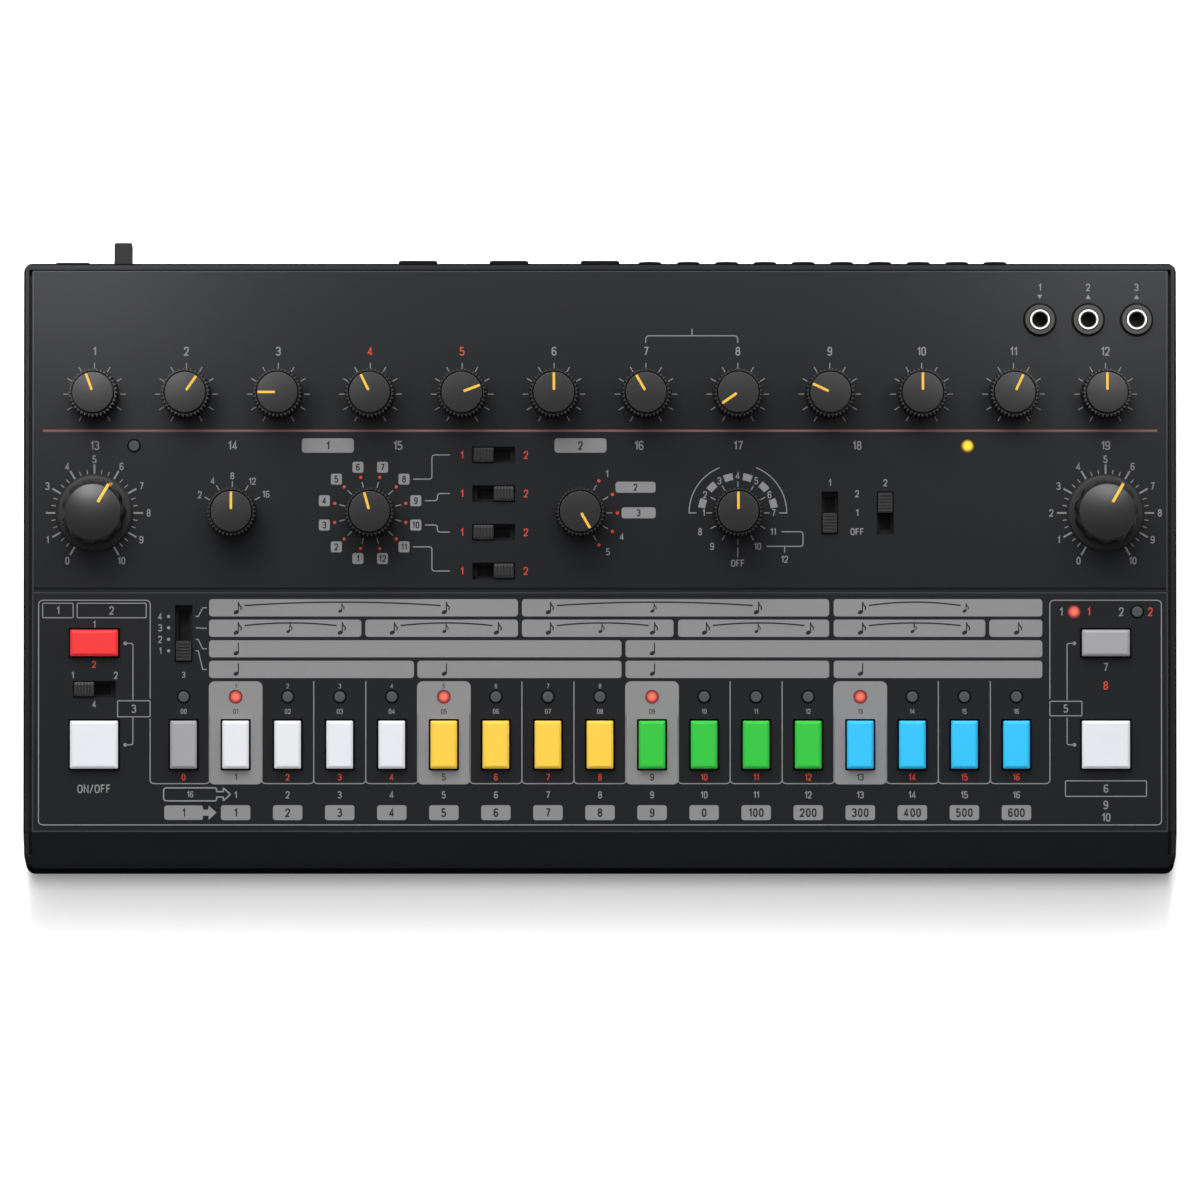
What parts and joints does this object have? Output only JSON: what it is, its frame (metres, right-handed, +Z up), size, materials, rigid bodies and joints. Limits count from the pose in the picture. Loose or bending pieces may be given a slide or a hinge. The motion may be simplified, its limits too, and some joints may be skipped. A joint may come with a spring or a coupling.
{
  "type": "drum machine",
  "caption": "Desktop drum machine: sloping panel of knobs, slide switches, step buttons, lamps and sockets over a shallow tub with rear connectors.",
  "frame": {"origin": "on the table, below the middle of the whole object's box", "axes": "+X to the user's right, +Y to the rear, +Z up"},
  "size_m": [0.305, 0.1646, 0.0562],
  "materials": {
    "cover_plastic": "fine matt texture, charcoal",
    "tub_plastic": "fine matt texture, near black",
    "foot_rubber": "matt",
    "screw_steel": "zinc plated",
    "board_laminate": "solder mask",
    "component_black": "moulded",
    "led_lens": "clear to milky lens",
    "socket_metal": "nickel plated barrels in black bodies",
    "nut_black": "black nickel",
    "knob_plastic": "satin, near black",
    "key_white": "satin",
    "key_yellow": "satin",
    "key_green": "satin",
    "key_blue": "satin",
    "key_grey": "satin",
    "key_red": "satin",
    "lever_plastic": "satin"
  },
  "bodies": {
    "case": {"upper_case": "cover_plastic", "lower_case": "tub_plastic", "rubber_feet": "foot_rubber", "screws": "screw_steel", "control_board": "board_laminate", "step_board": "board_laminate", "main_board": "board_laminate", "potentiometers": "component_black", "panel_switches": "component_black", "leds": "led_lens", "sockets": "socket_metal", "jack_nuts": "nut_black"},
    "level_knob_01": {"level_knob_01": "knob_plastic"},
    "level_knob_02": {"level_knob_02": "knob_plastic"},
    "level_knob_03": {"level_knob_03": "knob_plastic"},
    "level_knob_04": {"level_knob_04": "knob_plastic"},
    "level_knob_05": {"level_knob_05": "knob_plastic"},
    "level_knob_06": {"level_knob_06": "knob_plastic"},
    "level_knob_07": {"level_knob_07": "knob_plastic"},
    "level_knob_08": {"level_knob_08": "knob_plastic"},
    "level_knob_09": {"level_knob_09": "knob_plastic"},
    "level_knob_10": {"level_knob_10": "knob_plastic"},
    "level_knob_11": {"level_knob_11": "knob_plastic"},
    "level_knob_12": {"level_knob_12": "knob_plastic"},
    "measure_selector_knob": {"measure_selector_knob": "knob_plastic"},
    "instrument_selector_knob": {"instrument_selector_knob": "knob_plastic"},
    "pattern_selector_knob": {"pattern_selector_knob": "knob_plastic"},
    "variation_selector_knob": {"variation_selector_knob": "knob_plastic"},
    "tempo_knob": {"tempo_knob": "knob_plastic"},
    "volume_knob": {"volume_knob": "knob_plastic"},
    "step_button_01": {"step_button_01": "key_white"},
    "step_button_02": {"step_button_02": "key_white"},
    "step_button_03": {"step_button_03": "key_white"},
    "step_button_04": {"step_button_04": "key_white"},
    "step_button_05": {"step_button_05": "key_yellow"},
    "step_button_06": {"step_button_06": "key_yellow"},
    "step_button_07": {"step_button_07": "key_yellow"},
    "step_button_08": {"step_button_08": "key_yellow"},
    "step_button_09": {"step_button_09": "key_green"},
    "step_button_10": {"step_button_10": "key_green"},
    "step_button_11": {"step_button_11": "key_green"},
    "step_button_12": {"step_button_12": "key_green"},
    "step_button_13": {"step_button_13": "key_blue"},
    "step_button_14": {"step_button_14": "key_blue"},
    "step_button_15": {"step_button_15": "key_blue"},
    "step_button_16": {"step_button_16": "key_blue"},
    "function_button": {"function_button": "key_grey"},
    "start_button": {"start_button": "key_white"},
    "tap_button": {"tap_button": "key_white"},
    "clear_button": {"clear_button": "key_red"},
    "pattern_button": {"pattern_button": "key_grey"},
    "mode_switch_1": {"mode_switch_1": "lever_plastic"},
    "mode_switch_2": {"mode_switch_2": "lever_plastic"},
    "mode_switch_3": {"mode_switch_3": "lever_plastic"},
    "mode_switch_4": {"mode_switch_4": "lever_plastic"},
    "fill_switch": {"fill_switch": "lever_plastic"},
    "cycle_switch": {"cycle_switch": "lever_plastic"},
    "tempo_source_switch": {"tempo_source_switch": "lever_plastic"},
    "scale_switch": {"scale_switch": "lever_plastic"},
    "power_button": {"power_button": "knob_plastic"}
  },
  "joints": [
    {"name": "level_knob_01_turn", "type": "hinge", "parent": "case", "child": "level_knob_01", "pos_m": [-0.13376, 0.03978, 0.04116], "axis": [0, -0.1736, 0.9848], "range_deg": [-170, 130]},
    {"name": "level_knob_02_turn", "type": "hinge", "parent": "case", "child": "level_knob_02", "pos_m": [-0.10944, 0.03978, 0.04116], "axis": [0, -0.1736, 0.9848], "range_deg": [-115, 185]},
    {"name": "level_knob_03_turn", "type": "hinge", "parent": "case", "child": "level_knob_03", "pos_m": [-0.08512, 0.03978, 0.04116], "axis": [0, -0.1736, 0.9848], "range_deg": [-240, 60]},
    {"name": "level_knob_04_turn", "type": "hinge", "parent": "case", "child": "level_knob_04", "pos_m": [-0.0608, 0.03978, 0.04116], "axis": [0, -0.1736, 0.9848], "range_deg": [-176, 124]},
    {"name": "level_knob_05_turn", "type": "hinge", "parent": "case", "child": "level_knob_05", "pos_m": [-0.03648, 0.03978, 0.04116], "axis": [0, -0.1736, 0.9848], "range_deg": [-81, 219]},
    {"name": "level_knob_06_turn", "type": "hinge", "parent": "case", "child": "level_knob_06", "pos_m": [-0.01216, 0.03978, 0.04116], "axis": [0, -0.1736, 0.9848], "range_deg": [-150, 150]},
    {"name": "level_knob_07_turn", "type": "hinge", "parent": "case", "child": "level_knob_07", "pos_m": [0.01216, 0.03978, 0.04116], "axis": [0, -0.1736, 0.9848], "range_deg": [-180, 120]},
    {"name": "level_knob_08_turn", "type": "hinge", "parent": "case", "child": "level_knob_08", "pos_m": [0.03648, 0.03978, 0.04116], "axis": [0, -0.1736, 0.9848], "range_deg": [-275, 25]},
    {"name": "level_knob_09_turn", "type": "hinge", "parent": "case", "child": "level_knob_09", "pos_m": [0.0608, 0.03978, 0.04116], "axis": [0, -0.1736, 0.9848], "range_deg": [-215, 85]},
    {"name": "level_knob_10_turn", "type": "hinge", "parent": "case", "child": "level_knob_10", "pos_m": [0.08512, 0.03978, 0.04116], "axis": [0, -0.1736, 0.9848], "range_deg": [-150, 150]},
    {"name": "level_knob_11_turn", "type": "hinge", "parent": "case", "child": "level_knob_11", "pos_m": [0.10944, 0.03978, 0.04116], "axis": [0, -0.1736, 0.9848], "range_deg": [-125, 175]},
    {"name": "level_knob_12_turn", "type": "hinge", "parent": "case", "child": "level_knob_12", "pos_m": [0.13376, 0.03978, 0.04116], "axis": [0, -0.1736, 0.9848], "range_deg": [-150, 150]},
    {"name": "measure_selector_knob_turn", "type": "hinge", "parent": "case", "child": "measure_selector_knob", "pos_m": [-0.09728, 0.00881, 0.0357], "axis": [0, -0.1736, 0.9848], "range_deg": [-60, 60]},
    {"name": "instrument_selector_knob_turn", "type": "hinge", "parent": "case", "child": "instrument_selector_knob", "pos_m": [-0.0608, 0.00881, 0.0357], "axis": [0, -0.1736, 0.9848], "range_deg": [-180, 150]},
    {"name": "pattern_selector_knob_turn", "type": "hinge", "parent": "case", "child": "pattern_selector_knob", "pos_m": [-0.0052, 0.00881, 0.0357], "axis": [0, -0.1736, 0.9848], "range_deg": [0, 120]},
    {"name": "variation_selector_knob_turn", "type": "hinge", "parent": "case", "child": "variation_selector_knob", "pos_m": [0.03648, 0.00881, 0.0357], "axis": [0, -0.1736, 0.9848], "range_deg": [-180, 150]},
    {"name": "tempo_knob_turn", "type": "hinge", "parent": "case", "child": "tempo_knob", "pos_m": [-0.13376, 0.00881, 0.0357], "axis": [0, -0.1736, 0.9848], "range_deg": [-120, 180]},
    {"name": "volume_knob_turn", "type": "hinge", "parent": "case", "child": "volume_knob", "pos_m": [0.13376, 0.00881, 0.0357], "axis": [0, -0.1736, 0.9848], "range_deg": [-120, 180]},
    {"name": "step_button_01_press", "type": "slide", "parent": "case", "child": "step_button_01", "axis": [0, 0.1736, -0.9848], "range_m": [0, 0.0006], "stiffness_N_per_m": 450, "springref_m": -0.0006},
    {"name": "step_button_02_press", "type": "slide", "parent": "case", "child": "step_button_02", "axis": [0, 0.1736, -0.9848], "range_m": [0, 0.0006], "stiffness_N_per_m": 450, "springref_m": -0.0006},
    {"name": "step_button_03_press", "type": "slide", "parent": "case", "child": "step_button_03", "axis": [0, 0.1736, -0.9848], "range_m": [0, 0.0006], "stiffness_N_per_m": 450, "springref_m": -0.0006},
    {"name": "step_button_04_press", "type": "slide", "parent": "case", "child": "step_button_04", "axis": [0, 0.1736, -0.9848], "range_m": [0, 0.0006], "stiffness_N_per_m": 450, "springref_m": -0.0006},
    {"name": "step_button_05_press", "type": "slide", "parent": "case", "child": "step_button_05", "axis": [0, 0.1736, -0.9848], "range_m": [0, 0.0006], "stiffness_N_per_m": 450, "springref_m": -0.0006},
    {"name": "step_button_06_press", "type": "slide", "parent": "case", "child": "step_button_06", "axis": [0, 0.1736, -0.9848], "range_m": [0, 0.0006], "stiffness_N_per_m": 450, "springref_m": -0.0006},
    {"name": "step_button_07_press", "type": "slide", "parent": "case", "child": "step_button_07", "axis": [0, 0.1736, -0.9848], "range_m": [0, 0.0006], "stiffness_N_per_m": 450, "springref_m": -0.0006},
    {"name": "step_button_08_press", "type": "slide", "parent": "case", "child": "step_button_08", "axis": [0, 0.1736, -0.9848], "range_m": [0, 0.0006], "stiffness_N_per_m": 450, "springref_m": -0.0006},
    {"name": "step_button_09_press", "type": "slide", "parent": "case", "child": "step_button_09", "axis": [0, 0.1736, -0.9848], "range_m": [0, 0.0006], "stiffness_N_per_m": 450, "springref_m": -0.0006},
    {"name": "step_button_10_press", "type": "slide", "parent": "case", "child": "step_button_10", "axis": [0, 0.1736, -0.9848], "range_m": [0, 0.0006], "stiffness_N_per_m": 450, "springref_m": -0.0006},
    {"name": "step_button_11_press", "type": "slide", "parent": "case", "child": "step_button_11", "axis": [0, 0.1736, -0.9848], "range_m": [0, 0.0006], "stiffness_N_per_m": 450, "springref_m": -0.0006},
    {"name": "step_button_12_press", "type": "slide", "parent": "case", "child": "step_button_12", "axis": [0, 0.1736, -0.9848], "range_m": [0, 0.0006], "stiffness_N_per_m": 450, "springref_m": -0.0006},
    {"name": "step_button_13_press", "type": "slide", "parent": "case", "child": "step_button_13", "axis": [0, 0.1736, -0.9848], "range_m": [0, 0.0006], "stiffness_N_per_m": 450, "springref_m": -0.0006},
    {"name": "step_button_14_press", "type": "slide", "parent": "case", "child": "step_button_14", "axis": [0, 0.1736, -0.9848], "range_m": [0, 0.0006], "stiffness_N_per_m": 450, "springref_m": -0.0006},
    {"name": "step_button_15_press", "type": "slide", "parent": "case", "child": "step_button_15", "axis": [0, 0.1736, -0.9848], "range_m": [0, 0.0006], "stiffness_N_per_m": 450, "springref_m": -0.0006},
    {"name": "step_button_16_press", "type": "slide", "parent": "case", "child": "step_button_16", "axis": [0, 0.1736, -0.9848], "range_m": [0, 0.0006], "stiffness_N_per_m": 450, "springref_m": -0.0006},
    {"name": "function_button_press", "type": "slide", "parent": "case", "child": "function_button", "axis": [0, 0.1736, -0.9848], "range_m": [0, 0.0006], "stiffness_N_per_m": 450, "springref_m": -0.0006},
    {"name": "start_button_press", "type": "slide", "parent": "case", "child": "start_button", "axis": [0, 0.1736, -0.9848], "range_m": [0, 0.0006], "stiffness_N_per_m": 450, "springref_m": -0.0006},
    {"name": "tap_button_press", "type": "slide", "parent": "case", "child": "tap_button", "axis": [0, 0.1736, -0.9848], "range_m": [0, 0.0006], "stiffness_N_per_m": 450, "springref_m": -0.0006},
    {"name": "clear_button_press", "type": "slide", "parent": "case", "child": "clear_button", "axis": [0, 0.1736, -0.9848], "range_m": [0, 0.0006], "stiffness_N_per_m": 450, "springref_m": -0.0006},
    {"name": "pattern_button_press", "type": "slide", "parent": "case", "child": "pattern_button", "axis": [0, 0.1736, -0.9848], "range_m": [0, 0.0006], "stiffness_N_per_m": 450, "springref_m": -0.0006},
    {"name": "mode_switch_1_slide", "type": "slide", "parent": "case", "child": "mode_switch_1", "axis": [1, 0, 0], "range_m": [0, 0.0054]},
    {"name": "mode_switch_2_slide", "type": "slide", "parent": "case", "child": "mode_switch_2", "axis": [-1, 0, 0], "range_m": [0, 0.0054]},
    {"name": "mode_switch_3_slide", "type": "slide", "parent": "case", "child": "mode_switch_3", "axis": [1, 0, 0], "range_m": [0, 0.0054]},
    {"name": "mode_switch_4_slide", "type": "slide", "parent": "case", "child": "mode_switch_4", "axis": [-1, 0, 0], "range_m": [0, 0.0054]},
    {"name": "fill_switch_slide", "type": "slide", "parent": "case", "child": "fill_switch", "axis": [0, 0.9848, 0.1736], "range_m": [0, 0.0054]},
    {"name": "cycle_switch_slide", "type": "slide", "parent": "case", "child": "cycle_switch", "axis": [0, -0.9848, -0.1736], "range_m": [0, 0.0054]},
    {"name": "tempo_source_switch_slide", "type": "slide", "parent": "case", "child": "tempo_source_switch", "axis": [1, 0, 0], "range_m": [0, 0.0054]},
    {"name": "scale_switch_slide", "type": "slide", "parent": "case", "child": "scale_switch", "axis": [0, 0.9848, 0.1736], "range_m": [0, 0.0092]},
    {"name": "power_button_press", "type": "slide", "parent": "case", "child": "power_button", "axis": [0, -1, 0], "range_m": [0, 0.0025], "stiffness_N_per_m": 300, "springref_m": -0.001}
  ]
}
